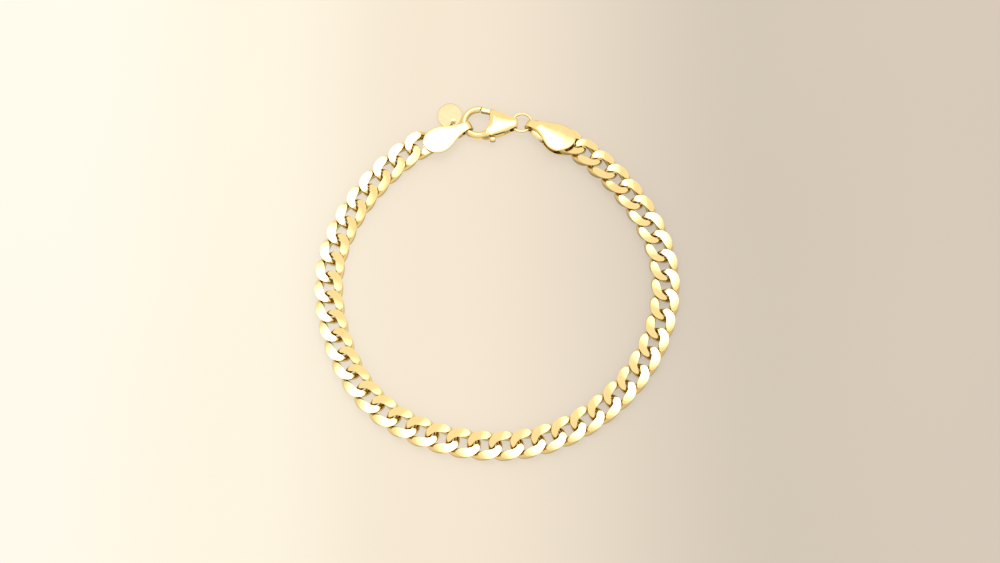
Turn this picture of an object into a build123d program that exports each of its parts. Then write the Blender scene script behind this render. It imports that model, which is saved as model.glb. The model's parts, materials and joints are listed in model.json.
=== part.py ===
from build123d import *
import math
import os

# A curb link bracelet, closed and lying flat. Millimetres, +Z up, and the surface it lies on is at zero.

# Chain links: an oval ring of wire, twisted so that it interlocks, then filed flat above and below
LINK_LENGTH = 6.8
LINK_WIDTH = 5.85
LINK_HEIGHT = 1.9
LINK_PLAY = 0.45
WIRE_AT_SIDE = 1.54
WIRE_AT_END = 1.1
WIRE_THICKNESS = 1.4
WIRE_CLEARANCE = 0.22
LINK_SIDES = 16
WIRE_SIDES = 6

# Where the chain lies: its middle at even steps, clockwise from the right end cap to the left one
ROUTE = [
    (26.4, 17.2),
    (32.9, 2.7),
    (31.0, -13.2),
    (21.8, -26.4),
    (7.8, -34.2),
    (-8.3, -34.4),
    (-22.9, -27.7),
    (-31.6, -14.1),
    (-33.5, 1.9),
    (-27.4, 16.8),
]
LEVELLING_LINKS = 6

# End caps: a strip folded over at its narrow end, with a round lobe at the chain
PLATE = 0.3
PLATE_CLEARANCE = 0.12
NECK_WIDTH = 1.8
NECK_LENGTH = 1.0
THROAT_WIDTH = 2.3
THROAT_AT = 2.9
LOBE_RADIUS = 2.8
LOBE_DOME = 0.3
PEG_RADIUS = 0.45
PEG_OFFSET = 1.55
RIGHT_LOBE = (12.75, 28.9)
LEFT_LOBE = (-12.6, 28.65)
FIRST_LINK_STEP = (2.15, -0.7)
LAST_LINK_STEP = (-3.3, -0.55)
RIGHT_ROLL = 10.0
LEFT_ROLL = -4.0

# Lobster clasp: a hook, a hollow body and a tail that the jump ring goes through
CLASP_PLACE = (-4.15, 33.12)
CLASP_TURN = -1.5
HOOK_RADIUS = 2.95
HOOK_WIDTH = 1.4
HOOK_HEIGHT = 1.6
HOOK_CLEARANCE = 0.2
HOOK_SLACK = 1.38
HOOK_HOLDS_CAP_AT = 206.5
HOOK_START = 72.0
HOOK_END = 305.0
BODY_HEIGHT = 2.6
BODY_TOP = 2.65
BODY_SHOULDER = 3.25
LOWER_EDGE_FROM = 8.0
TAIL_AT = 7.15
TAIL_HEIGHT = 1.9
TAIL_HALF_WIDTH = 0.83
TAIL_HOLE_RADIUS = 0.66

# Lever of the clasp: its gate closes the hook, and its thumb nub stands out of the body
LEVER_THICKNESS = 1.2
LEVER_CLEARANCE = 0.1
LEVER_OPEN = 25.0
PIVOT_AT = (3.85, 1.5)
PIVOT_RADIUS = 0.35
PIVOT_CLEARANCE = 0.04
BOSS_RADIUS = 0.8
ARM_RADIUS = 0.5
GATE_TIP = (0.42, 2.87)
GATE_ROOT = (2.8, 2.42)
GATE_ROOT_RADIUS = 0.4
GATE_GAP = 0.15
NUB_AT = (2.92, -3.65)
NUB_RADIUS = 0.55

# Jump ring between the clasp's tail and the right end cap
RING_RADIUS = 2.0
RING_WIRE = 0.5
RING_TURN = 4.0
RING_SLACK = 1.0

# Plain oval tag, and the small ring on the left end cap that carries it
TAG_WIDTH = 5.0
TAG_LENGTH = 6.0
TAG_THICKNESS = 0.3
TAG_PLACE = (-10.15, 35.2)
TAG_TILT = 10.0
TAG_HOLE_RADIUS = 0.4
TAG_HOLE_AT = (0.9, -1.85)
TAG_RING_RADIUS = 0.9
TAG_RING_WIRE = 0.36
TAG_RING_TURN = 245.0
TAG_RING_TILT = -60.0
FLOOR_CLEARANCE = 0.03

UP = Vector(0, 0, 1)


def write(part, name):
    part.label = name
    export_step(part, f"parts/{name}.step")
    print(f"{name}: {part.volume:.2f} mm3")


def smooth_fall(t):
    """One at t = 0, zero from t = 1, level at both ends."""
    t = min(max(t, 0.0), 1.0)
    return 1 - t * t * (3 - 2 * t)


def tipped_plane(origin, along, roll, outward):
    """A plane along a direction, whose outward side is tipped down by roll degrees."""
    angle = math.radians(roll)
    untipped = along.cross(UP.cross(along)).normalized()
    normal = untipped * math.cos(angle) + outward * math.sin(angle)
    return Plane(origin=origin, x_dir=along, z_dir=normal)


def side_plane(plane):
    """The upright plane through another one's X axis."""
    return Plane(origin=plane.origin, x_dir=plane.x_dir, z_dir=-plane.y_dir)


def end_plane(plane):
    """The upright plane across another one's X axis."""
    return Plane(origin=plane.origin, x_dir=plane.y_dir, z_dir=plane.x_dir)


# Chain link

def wire_section(turn):
    """Corners of the wire's section at one place round the link, filed to the link's height."""
    half_length = (LINK_LENGTH - WIRE_AT_END) / 2
    half_width = (LINK_WIDTH - WIRE_AT_SIDE) / 2
    twist = WIRE_THICKNESS / 2 + WIRE_CLEARANCE
    middle = Vector(
        half_length * math.cos(turn),
        half_width * math.sin(turn),
        -twist * math.sin(2 * turn),
    )
    run = Vector(
        -half_length * math.sin(turn),
        half_width * math.cos(turn),
        -2 * twist * math.cos(2 * turn),
    ).normalized()
    across = Vector(run.Y, -run.X, 0).normalized()
    rise = across.cross(run)
    if rise.Z < 0:
        rise = -rise
    wire_width = WIRE_AT_END * math.cos(turn) ** 2 + WIRE_AT_SIDE * math.sin(turn) ** 2
    corners = []
    for side in range(WIRE_SIDES):
        angle = 2 * math.pi * side / WIRE_SIDES
        corner = (
            middle
            + across * (wire_width / 2 * math.cos(angle))
            + rise * (WIRE_THICKNESS / 2 * math.sin(angle))
        )
        filed = min(max(corner.Z, -LINK_HEIGHT / 2), LINK_HEIGHT / 2)
        corners.append(Vector(corner.X, corner.Y, filed))
    return corners


def link_faces():
    """Flat three-sided faces between each section of the link and the next."""
    sections = [wire_section(2 * math.pi * step / LINK_SIDES) for step in range(LINK_SIDES)]
    faces = []
    for step in range(LINK_SIDES):
        here, there = sections[step], sections[(step + 1) % LINK_SIDES]
        for side in range(WIRE_SIDES):
            beside = (side + 1) % WIRE_SIDES
            for corners in (
                (here[side], there[side], there[beside]),
                (here[side], there[beside], here[beside]),
            ):
                faces.append(Face(Wire.make_polygon(corners)))
    return faces


with BuildPart() as link:
    add(Solid(Shell(link_faces())))


# Heights of the pieces' middle planes: each cap's lowest edge touches the surface

cap_half_height = LINK_HEIGHT / 2 + PLATE_CLEARANCE + PLATE
right_cap_height = cap_half_height + LOBE_RADIUS * math.sin(math.radians(abs(RIGHT_ROLL)))
left_cap_height = cap_half_height + LOBE_RADIUS * math.sin(math.radians(abs(LEFT_ROLL)))


# Clasp, built round the middle of its hook with its tail along X

clasp_plane = Plane(
    origin=(CLASP_PLACE[0], CLASP_PLACE[1], left_cap_height),
    x_dir=Vector(1, 0, 0).rotate(Axis.Z, CLASP_TURN),
    z_dir=UP,
)
body_left = HOOK_RADIUS - HOOK_WIDTH / 2
tail_end = TAIL_AT + TAIL_HEIGHT / 2
lower_edge_run = Vector(1, 0, 0).rotate(Axis.Z, LOWER_EDGE_FROM)
lower_edge_start = lower_edge_run.rotate(Axis.Z, -90) * (HOOK_RADIUS + HOOK_WIDTH / 2)
pivot_plane = Plane(
    origin=clasp_plane.from_local_coords(Vector(*PIVOT_AT)), x_dir=clasp_plane.x_dir, z_dir=UP
)
gate_reach = (Vector(*GATE_TIP) - Vector(*PIVOT_AT)).length
slot_half_height = LEVER_THICKNESS / 2 + LEVER_CLEARANCE


def slot_outline():
    """Plan of the body's hollow: it clears the lever from shut to fully open."""
    pivot = Vector(*PIVOT_AT)
    opened = (Vector(*NUB_AT) - pivot).rotate(Axis.Z, LEVER_OPEN) + pivot
    right = opened.X + NUB_RADIUS + 2 * LEVER_CLEARANCE
    boss_right = pivot.X + BOSS_RADIUS + 2 * LEVER_CLEARANCE
    left = NUB_AT[0] - NUB_RADIUS - LEVER_CLEARANCE
    below = NUB_AT[1] - NUB_RADIUS
    return [
        (body_left - HOOK_WIDTH, BODY_TOP + HOOK_WIDTH),
        (BODY_SHOULDER, BODY_TOP + HOOK_WIDTH),
        (boss_right, pivot.Y + BOSS_RADIUS / 2),
        (boss_right, pivot.Y - BOSS_RADIUS),
        (right, below),
        (left, below),
        (left, -body_left / 2),
        (body_left - HOOK_WIDTH, -body_left / 2),
    ]


with BuildPart() as clasp_body:
    # Body in plan, its lower edge one arc that leaves the hook smoothly
    with BuildSketch(clasp_plane):
        with BuildLine():
            lower = TangentArc(
                (lower_edge_start.X, lower_edge_start.Y),
                (tail_end, -TAIL_HALF_WIDTH),
                tangent=(lower_edge_run.X, lower_edge_run.Y),
            )
            Polyline(
                lower @ 1,
                (tail_end, TAIL_HALF_WIDTH),
                (BODY_SHOULDER, BODY_TOP),
                (body_left, BODY_TOP),
                (body_left, 0),
                (lower_edge_start.X, 0),
                lower @ 0,
            )
        make_face()
        Circle(body_left, mode=Mode.SUBTRACT)
    extrude(amount=BODY_HEIGHT / 2, both=True)
    # Seen from the side it swells from the hook's height to its own, then thins to a round tail
    with BuildSketch(side_plane(clasp_plane)):
        with BuildLine():
            Polyline(
                (lower_edge_start.X, -HOOK_HEIGHT / 2),
                (lower_edge_start.X, HOOK_HEIGHT / 2),
                (body_left, BODY_HEIGHT / 2),
                (BODY_SHOULDER + HOOK_WIDTH, BODY_HEIGHT / 2),
                (BODY_SHOULDER + HOOK_WIDTH, -BODY_HEIGHT / 2),
                (body_left, -BODY_HEIGHT / 2),
                close=True,
            )
        make_face()
        with Locations((TAIL_AT, 0)):
            Circle(TAIL_HEIGHT / 2)
        make_hull()
    extrude(amount=LINK_LENGTH, both=True, mode=Mode.INTERSECT)
    # Hollow for the lever, hole for the jump ring and bore for the rivet
    with BuildSketch(clasp_plane):
        Polygon(*slot_outline(), align=None)
    extrude(amount=slot_half_height, both=True, mode=Mode.SUBTRACT)
    with BuildSketch(side_plane(clasp_plane)):
        with Locations((TAIL_AT, 0)):
            Circle(TAIL_HOLE_RADIUS)
    extrude(amount=LINK_LENGTH, both=True, mode=Mode.SUBTRACT)
    with BuildSketch(pivot_plane):
        Circle(PIVOT_RADIUS + PIVOT_CLEARANCE)
    extrude(amount=BODY_HEIGHT, both=True, mode=Mode.SUBTRACT)

with BuildPart() as hook:
    # Ring of the hook, with its free end cut to the swing of the gate
    start_plane = Plane(
        origin=clasp_plane.origin, x_dir=clasp_plane.x_dir.rotate(Axis.Z, HOOK_START), z_dir=UP
    )
    with BuildSketch(side_plane(start_plane)):
        with Locations((HOOK_RADIUS, 0)):
            Ellipse(HOOK_WIDTH / 2, HOOK_HEIGHT / 2)
    revolve(axis=Axis(clasp_plane.origin, (0, 0, 1)), revolution_arc=HOOK_END - HOOK_START)
    with BuildSketch(pivot_plane):
        Circle(gate_reach + GATE_GAP)
    extrude(amount=HOOK_HEIGHT, both=True, mode=Mode.SUBTRACT)

with BuildPart() as clasp:
    add(clasp_body.part)
    add(hook.part)


# Lever and rivet

with BuildPart() as lever:
    with BuildSketch(clasp_plane):
        with Locations(GATE_TIP):
            Circle(ARM_RADIUS)
        with Locations(GATE_ROOT):
            Circle(ARM_RADIUS)
        make_hull()
        with Locations(PIVOT_AT):
            Circle(gate_reach, mode=Mode.INTERSECT)
    extrude(amount=LEVER_THICKNESS / 2, both=True)
    with BuildSketch(clasp_plane):
        with Locations(GATE_ROOT):
            Circle(GATE_ROOT_RADIUS)
        with Locations(PIVOT_AT):
            Circle(BOSS_RADIUS)
        make_hull()
    extrude(amount=LEVER_THICKNESS / 2, both=True)
    with BuildSketch(clasp_plane):
        with Locations(NUB_AT):
            Circle(NUB_RADIUS)
        with Locations(PIVOT_AT):
            Circle(ARM_RADIUS)
        make_hull()
    extrude(amount=LEVER_THICKNESS / 2, both=True)
    with BuildSketch(pivot_plane):
        Circle(PIVOT_RADIUS + PIVOT_CLEARANCE)
    extrude(amount=LEVER_THICKNESS, both=True, mode=Mode.SUBTRACT)

with BuildPart() as rivet:
    with BuildSketch(pivot_plane):
        Circle(PIVOT_RADIUS)
    extrude(amount=BODY_HEIGHT / 2, both=True)


# Jump ring: it leans from the tail's hole up to the right cap's fold

lobe = Vector(*RIGHT_LOBE)
ring_bow = RING_RADIUS - math.sqrt(RING_RADIUS**2 - TAIL_HALF_WIDTH**2)
from_tail = Vector(RING_RADIUS - ring_bow, 0, 0).rotate(Axis.Z, RING_TURN)
ring_middle = clasp_plane.from_local_coords(Vector(TAIL_AT, 0, 0) + from_tail)
ring_to_cap = (Vector(lobe.X - ring_middle.X, lobe.Y - ring_middle.Y, 0)).normalized()
ring_lean = math.asin((right_cap_height - left_cap_height) / (2 * RING_RADIUS))
ring_centre = Vector(ring_middle.X, ring_middle.Y, (right_cap_height + left_cap_height) / 2)
ring_along = clasp_plane.x_dir.rotate(Axis.Z, RING_TURN)
ring_plane = Plane(
    origin=ring_centre,
    x_dir=UP.cross(ring_along),
    z_dir=UP * math.cos(ring_lean) - ring_along * math.sin(ring_lean),
)

with BuildPart() as jump_ring:
    with BuildSketch(side_plane(ring_plane)):
        with Locations((RING_RADIUS, 0)):
            Circle(RING_WIRE / 2)
    revolve(axis=Axis(ring_plane.origin, ring_plane.z_dir))


# End caps

fold_half_height = HOOK_HEIGHT / 2 + HOOK_CLEARANCE + PLATE


def cap_plane(held, lobe_at, slack, roll, height):
    """Plane at the fold's outer end, from what the fold holds towards the lobe."""
    held = Vector(held.X, held.Y, 0)
    along = (Vector(*lobe_at) - held).normalized()
    outward = UP.cross(along)
    if outward.dot(held) < 0:
        outward = -outward
    fold_end = held - along * slack
    return tipped_plane(Vector(fold_end.X, fold_end.Y, height), along, roll, outward)


ring_seat = ring_middle + ring_to_cap * RING_RADIUS
right_plane = cap_plane(ring_seat, RIGHT_LOBE, RING_SLACK, RIGHT_ROLL, right_cap_height)
hook_seat = Vector(*CLASP_PLACE) + Vector(HOOK_RADIUS, 0).rotate(Axis.Z, HOOK_HOLDS_CAP_AT)
left_plane = cap_plane(hook_seat, LEFT_LOBE, HOOK_SLACK, LEFT_ROLL, left_cap_height)


# Places of the links: even steps along one smooth curve, from one cap's plane to the other's

first_middle = Vector(*RIGHT_LOBE) + Vector(*FIRST_LINK_STEP)
last_middle = Vector(*LEFT_LOBE) + Vector(*LAST_LINK_STEP)

with BuildLine():
    route = Spline(first_middle, *ROUTE, last_middle)

link_pitch = LINK_LENGTH - 2 * WIRE_AT_END - LINK_PLAY
link_count = round(route.length / link_pitch) + 1


def weights(place):
    """How far a place on the route takes its height and roll from the right and the left cap."""
    steps = place * (link_count - 1)
    return smooth_fall(steps / LEVELLING_LINKS), smooth_fall((link_count - 1 - steps) / LEVELLING_LINKS)


def chain_height(place):
    middle = route.position_at(place)
    low = LINK_HEIGHT / 2
    height = low
    for plane, weight in zip((right_plane, left_plane), weights(place)):
        away = middle - plane.origin
        on_plane = plane.origin.Z - (plane.z_dir.X * away.X + plane.z_dir.Y * away.Y) / plane.z_dir.Z
        height += weight * (on_plane - low)
    return height


def link_plane(number):
    place = number / (link_count - 1)
    before = max(place - 0.5 / (link_count - 1), 0.0)
    after = min(place + 0.5 / (link_count - 1), 1.0)
    slope = (chain_height(after) - chain_height(before)) / ((after - before) * route.length)
    middle = route.position_at(place)
    along = route.tangent_at(place)
    from_right, from_left = weights(place)
    roll = from_right * RIGHT_ROLL + from_left * LEFT_ROLL
    lean = LINK_LENGTH / 2 * abs(slope) + LINK_WIDTH / 2 * abs(math.sin(math.radians(roll)))
    height = max(chain_height(place), LINK_HEIGHT / 2 + lean)
    return tipped_plane(Vector(middle.X, middle.Y, height), along + UP * slope, roll, UP.cross(along))


def end_cap(plane, lobe_at, link_number, peg_step):
    """Folded strip with a domed lobe, and the peg that holds the chain's last link."""
    reach = plane.to_local_coords(Vector(lobe_at[0], lobe_at[1], plane.origin.Z)).X
    last_link = link_plane(link_number)
    peg = plane.to_local_coords(last_link.from_local_coords(Vector(peg_step, 0, 0)))
    full_from = reach + LOBE_RADIUS - LINK_LENGTH
    end = reach + LOBE_RADIUS
    inside = cap_half_height - PLATE
    fold_inside = fold_half_height - PLATE
    crown = cap_half_height + LOBE_DOME
    dome_radius = (LOBE_RADIUS**2 + LOBE_DOME**2) / (2 * LOBE_DOME)
    with BuildPart() as cap:
        # Side view of the folded strip
        with BuildSketch(side_plane(plane)):
            with BuildLine():
                fold = ThreePointArc(
                    (fold_half_height, -fold_half_height),
                    (0, 0),
                    (fold_half_height, fold_half_height),
                )
                top = ThreePointArc(fold @ 1, (reach, crown), (end, cap_half_height))
                Polyline(top @ 1, (end, -cap_half_height), (full_from, -cap_half_height), fold @ 0)
            make_face()
            with BuildLine():
                inner = ThreePointArc(
                    (fold_half_height, -fold_inside),
                    (PLATE, 0),
                    (fold_half_height, fold_inside),
                )
                Polyline(
                    inner @ 1,
                    (full_from, inside),
                    (end + PLATE, inside),
                    (end + PLATE, -inside),
                    (full_from, -inside),
                    inner @ 0,
                )
            make_face(mode=Mode.SUBTRACT)
        extrude(amount=LOBE_RADIUS, both=True)
        # Its outline from above: a narrow neck that widens to a round lobe
        with BuildSketch(plane):
            with Locations((THROAT_AT, 0)):
                Circle(THROAT_WIDTH / 2)
            with Locations((reach, 0)):
                Circle(LOBE_RADIUS)
            make_hull()
            with BuildLine():
                Polyline(
                    (0, -NECK_WIDTH / 2),
                    (NECK_LENGTH, -NECK_WIDTH / 2),
                    (THROAT_AT, -THROAT_WIDTH / 2),
                    (THROAT_AT, THROAT_WIDTH / 2),
                    (NECK_LENGTH, NECK_WIDTH / 2),
                    (0, NECK_WIDTH / 2),
                    close=True,
                )
            make_face()
        extrude(amount=crown, both=True, mode=Mode.INTERSECT)
        # The lobe is domed across as well
        with BuildSketch(end_plane(plane)):
            with Locations((0, crown - dome_radius)):
                Circle(dome_radius)
        extrude(amount=end, mode=Mode.INTERSECT)
        # Peg through the opening of the last link
        with BuildSketch(plane):
            with Locations((peg.X, peg.Y)):
                Circle(PEG_RADIUS)
        extrude(amount=inside, both=True)
    return cap.part


right_cap = end_cap(right_plane, RIGHT_LOBE, 0, -PEG_OFFSET)


# Tag, lying from the surface up to its ring, and that ring soldered into the left cap

tag_drop = math.radians(TAG_TILT)
tag_middle_height = FLOOR_CLEARANCE + TAG_THICKNESS / 2 + TAG_LENGTH / 2 * math.sin(tag_drop)
tag_plane = Plane(
    origin=(TAG_PLACE[0], TAG_PLACE[1], tag_middle_height),
    x_dir=(1, 0, 0),
    z_dir=(0, math.sin(tag_drop), math.cos(tag_drop)),
)

with BuildPart() as tag:
    with BuildSketch(tag_plane):
        Ellipse(TAG_WIDTH / 2, TAG_LENGTH / 2)
        with Locations(TAG_HOLE_AT):
            Circle(TAG_HOLE_RADIUS, mode=Mode.SUBTRACT)
    extrude(amount=TAG_THICKNESS / 2, both=True)

tag_ring_along = Vector(1, 0, 0).rotate(Axis.Z, TAG_RING_TURN)
tag_hole = tag_plane.from_local_coords(Vector(*TAG_HOLE_AT))
tag_ring_plane = Plane(
    origin=tag_hole + tag_ring_along * TAG_RING_RADIUS,
    x_dir=tag_ring_along,
    z_dir=UP.rotate(Axis((0, 0, 0), tuple(tag_ring_along)), TAG_RING_TILT),
)

with BuildPart() as left_cap:
    add(end_cap(left_plane, LEFT_LOBE, link_count - 1, PEG_OFFSET))
    with BuildSketch(side_plane(tag_ring_plane)):
        with Locations((TAG_RING_RADIUS, 0)):
            Circle(TAG_RING_WIRE / 2)
    revolve(axis=Axis(tag_ring_plane.origin, tag_ring_plane.z_dir))


# Write each piece

os.makedirs("parts", exist_ok=True)
for number in range(link_count):
    write(link.part.moved(link_plane(number).location), f"link_{number + 1:02d}")
write(clasp.part, "clasp_body")
write(lever.part, "clasp_lever")
write(rivet.part, "clasp_rivet")
write(jump_ring.part, "jump_ring")
write(right_cap, "right_end_cap")
write(left_cap.part, "left_end_cap")
write(tag.part, "tag")
print(f"{link_count} links, {route.length / (link_count - 1):.3f} mm from each to the next")
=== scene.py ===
# %% [markdown]
# # A curb link bracelet, lying closed
#
# A curb chain is one of the oldest machine made chains: oval rings of wire are hooked
# through each other, the chain is twisted until every ring lies flat, and the twisted
# rings are then filed above and below. The model has the real sizes of every piece,
# and this lesson gives them their polished gold surfaces, their edges and their light.
# The first step loads the measured model. All lengths here are metres, so a value in
# millimetres is written with the factor `MM`.

# %% Load the measured model
import bpy
import bmesh
import json
import math
import numpy as np
from mathutils import Matrix, Vector

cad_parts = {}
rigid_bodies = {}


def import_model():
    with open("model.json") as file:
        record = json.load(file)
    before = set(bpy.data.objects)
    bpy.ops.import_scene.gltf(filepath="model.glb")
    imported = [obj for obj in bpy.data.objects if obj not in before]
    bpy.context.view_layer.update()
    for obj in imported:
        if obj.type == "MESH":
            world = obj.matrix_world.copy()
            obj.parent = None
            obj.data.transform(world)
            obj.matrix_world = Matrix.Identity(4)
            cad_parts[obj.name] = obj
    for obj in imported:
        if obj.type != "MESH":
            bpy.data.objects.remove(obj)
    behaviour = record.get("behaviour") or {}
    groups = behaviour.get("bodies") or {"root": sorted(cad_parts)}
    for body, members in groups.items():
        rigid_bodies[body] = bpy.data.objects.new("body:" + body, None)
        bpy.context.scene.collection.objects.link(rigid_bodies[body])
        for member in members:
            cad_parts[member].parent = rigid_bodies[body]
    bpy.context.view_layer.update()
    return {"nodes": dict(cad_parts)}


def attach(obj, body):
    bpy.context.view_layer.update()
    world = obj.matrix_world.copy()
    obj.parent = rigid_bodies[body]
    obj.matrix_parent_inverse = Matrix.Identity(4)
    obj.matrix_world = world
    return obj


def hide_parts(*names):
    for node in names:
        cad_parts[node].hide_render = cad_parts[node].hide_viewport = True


MM = 0.001
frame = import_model()
print("pieces in the model:", len(frame["nodes"]))

# %% [markdown]
# ## The camera
#
# The bracelet is seen from high above its open side, tilted 20 degrees from straight
# down. A camera 30 cm away keeps a little perspective, so the near links look slightly
# larger than those at the clasp. The tilt, the distance and the lens are fixed by where
# the links appear in the picture.

# %% Camera
CAMERA_TILT = math.radians(20)
CAMERA_DISTANCE = 300 * MM
CAMERA_TARGET = Vector((0.3, -1.3, 0.0)) * MM
LENS = 54
SENSOR_WIDTH = 36

camera = bpy.data.objects.new("camera", bpy.data.cameras.new("camera"))
camera.data.lens = LENS
camera.data.sensor_width = SENSOR_WIDTH
camera.data.clip_start = 10 * MM
camera.rotation_euler = (CAMERA_TILT, 0, 0)
view_back = Vector((0, -math.sin(CAMERA_TILT), math.cos(CAMERA_TILT)))
camera.location = CAMERA_TARGET + view_back * CAMERA_DISTANCE
bpy.context.scene.collection.objects.link(camera)
bpy.context.scene.camera = camera
print("camera at", [round(v / MM, 1) for v in camera.location], "mm")

# %% [markdown]
# ## Helpers for the node trees
#
# Materials and geometry are both made of nodes here. Three small helpers keep the trees
# readable: one adds a node with its settings, one fills in the values of its inputs, and
# one starts a material with an empty tree.

# %% Node helpers
def add_node(tree, kind, **settings):
    node = tree.nodes.new(kind)
    for name, value in settings.items():
        setattr(node, name, value)
    return node


def set_inputs(node, **values):
    for name, value in values.items():
        node.inputs[name.replace("_", " ")].default_value = value
    return node


def new_material(name):
    material = bpy.data.materials.new(name)
    material.use_nodes = True
    material.node_tree.nodes.clear()
    return material


def two_tones(tree, low, high, start=0.35, end=0.65):
    """A colour ramp from one tone to another."""
    ramp = add_node(tree, "ShaderNodeValToRGB")
    for element, position, tone in zip(ramp.color_ramp.elements, (start, end), (low, high)):
        element.position = position
        element.color = (*tone, 1)
    return ramp


# %% [markdown]
# ## Polished gold
#
# Fourteen carat yellow gold is a pale warm metal. All of its colour is in its
# reflection, so the shader is fully metallic. A polished piece is never quite a
# mirror: the buffing wheel leaves broad soft waves and very fine scratches, and the
# roughness and the tint change a little from place to place. Each of these four comes
# from a noise on Object coordinates. The tint and the waves change over a few
# millimetres and the smears over about one. The scratches are stretched into lines less
# than a tenth of a millimetre apart.
#
# A steep side of a link sees little but dark gaps and other gold, so it looks deeper
# than a facet. That shade is painted into the colour: an attribute made together with each
# mesh is one on steep sides, and the shader multiplies the colour there by a darker,
# browner tone, which is painted shade.

# %% Gold material
TINT_SCALE = 220.0
SMEAR_SCALE = 900.0
WAVE_SCALE = 350.0
SCRATCH_SCALE = 2600.0
SCRATCH_STRETCH = 9.0
SCRATCH_TURN = math.radians(35)
WAVE_DEPTH = 0.05 * MM
SCRATCH_DEPTH = 0.004 * MM
DARKEST_TINT = 0.96


def gold(name, color, roughness, wave, scratch, flank_shade):
    material = new_material(name)
    tree = material.node_tree
    place = add_node(tree, "ShaderNodeTexCoord")

    tint = add_node(tree, "ShaderNodeTexNoise")
    set_inputs(tint, Scale=TINT_SCALE, Detail=3.0, Roughness=0.6)
    shades = two_tones(tree, [c * DARKEST_TINT for c in color], color)

    # painted shade: where the steep-side attribute is one, the colour is multiplied by a darker,
    # browner tone
    flank_shade_mask = add_node(tree, "ShaderNodeAttribute", attribute_name="flank_shade")
    flank_shading = add_node(tree, "ShaderNodeMixRGB", blend_type="MULTIPLY")
    flank_shading.inputs["Color2"].default_value = (flank_shade, flank_shade * 0.9, flank_shade * 0.75, 1)

    smear = add_node(tree, "ShaderNodeTexNoise")
    set_inputs(smear, Scale=SMEAR_SCALE, Detail=4.0, Roughness=0.7)
    rough = add_node(tree, "ShaderNodeMapRange")
    set_inputs(rough, From_Min=0.3, From_Max=0.7, To_Min=roughness * 0.7, To_Max=roughness * 1.5)

    broad = set_inputs(add_node(tree, "ShaderNodeTexNoise"), Scale=WAVE_SCALE, Detail=1.0)
    stretch = add_node(tree, "ShaderNodeMapping")
    set_inputs(stretch, Scale=(1.0, SCRATCH_STRETCH, 1.0), Rotation=(0.0, 0.0, SCRATCH_TURN))
    fine = add_node(tree, "ShaderNodeTexNoise")
    set_inputs(fine, Scale=SCRATCH_SCALE, Detail=2.0, Roughness=0.8)
    waves = set_inputs(add_node(tree, "ShaderNodeBump"), Strength=wave, Distance=WAVE_DEPTH)
    scratches = add_node(tree, "ShaderNodeBump")
    set_inputs(scratches, Strength=scratch, Distance=SCRATCH_DEPTH)

    shader = set_inputs(add_node(tree, "ShaderNodeBsdfPrincipled"), Metallic=1.0)
    out = add_node(tree, "ShaderNodeOutputMaterial")
    link = tree.links.new
    for noise in (tint, smear, broad):
        link(place.outputs["Object"], noise.inputs["Vector"])
    link(place.outputs["Object"], stretch.inputs["Vector"])
    link(stretch.outputs["Vector"], fine.inputs["Vector"])
    link(tint.outputs["Fac"], shades.inputs["Fac"])
    link(flank_shade_mask.outputs["Fac"], flank_shading.inputs["Fac"])
    link(shades.outputs["Color"], flank_shading.inputs["Color1"])
    link(flank_shading.outputs["Color"], shader.inputs["Base Color"])
    link(smear.outputs["Fac"], rough.inputs["Value"])
    link(rough.outputs["Result"], shader.inputs["Roughness"])
    link(broad.outputs["Fac"], waves.inputs["Height"])
    link(fine.outputs["Fac"], scratches.inputs["Height"])
    link(waves.outputs["Normal"], scratches.inputs["Normal"])
    link(scratches.outputs["Normal"], shader.inputs["Normal"])
    link(shader.outputs["BSDF"], out.inputs["Surface"])
    return material


# %% [markdown]
# ## Three finishes
#
# The chain has the highest polish, because its facets are filed flat and buffed. The
# clasp and the caps are cast or pressed and a touch softer. The tag is thin sheet with a
# satin face, and its colour is paler, because a satin face also sends some of the light
# of the room to the eye.

# %% Finishes
GOLD_COLOR = (0.93, 0.745, 0.36)
TAG_COLOR = (0.94, 0.80, 0.50)
# The last number of each finish is the painted shade on steep sides: their colour is multiplied by
# it.
chain_gold = gold("chain_gold", GOLD_COLOR, roughness=0.10, wave=0.10, scratch=0.25, flank_shade=0.45)
clasp_gold = gold("clasp_gold", GOLD_COLOR, roughness=0.12, wave=0.12, scratch=0.30, flank_shade=0.30)
tag_gold = gold("tag_gold", TAG_COLOR, roughness=0.24, wave=0.08, scratch=0.30, flank_shade=0.85)
print("materials:", [m.name for m in (chain_gold, clasp_gold, tag_gold)])

# %% [markdown]
# ## One way to make every piece
#
# Nearly all of this jewellery is drawn, bent or pressed from a wire or a strip, so one
# helper makes nearly every mesh: it lays a closed outline at each station of a path and
# joins each outline to the next. A ring joins its last outline to its first, and an
# open path gets a face over each end. Faces are smooth, and an edge is drawn sharp only
# where its two faces meet at more than the ridge's angle.

# %% Skins over outlines
FLANK_SHADE_STARTS = 0.3
FLANK_SHADE_FADE = 0.25
SAME_POINT = 0.0005 * MM


def loft(sections, ring=False):
    """Points and faces of a skin over outlines that all have the same number of points."""
    count, flank_shade_mask = len(sections), len(sections[0])
    faces = []
    for i in range(count if ring else count - 1):
        for j in range(flank_shade_mask):
            k, l = (i + 1) % count, (j + 1) % flank_shade_mask
            faces.append((i * flank_shade_mask + j, k * flank_shade_mask + j, k * flank_shade_mask + l, i * flank_shade_mask + l))
    if not ring:
        faces.append(tuple(range(flank_shade_mask)))
        faces.append(tuple((count - 1) * flank_shade_mask + j for j in range(flank_shade_mask)))
    return np.concatenate(sections), faces


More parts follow.
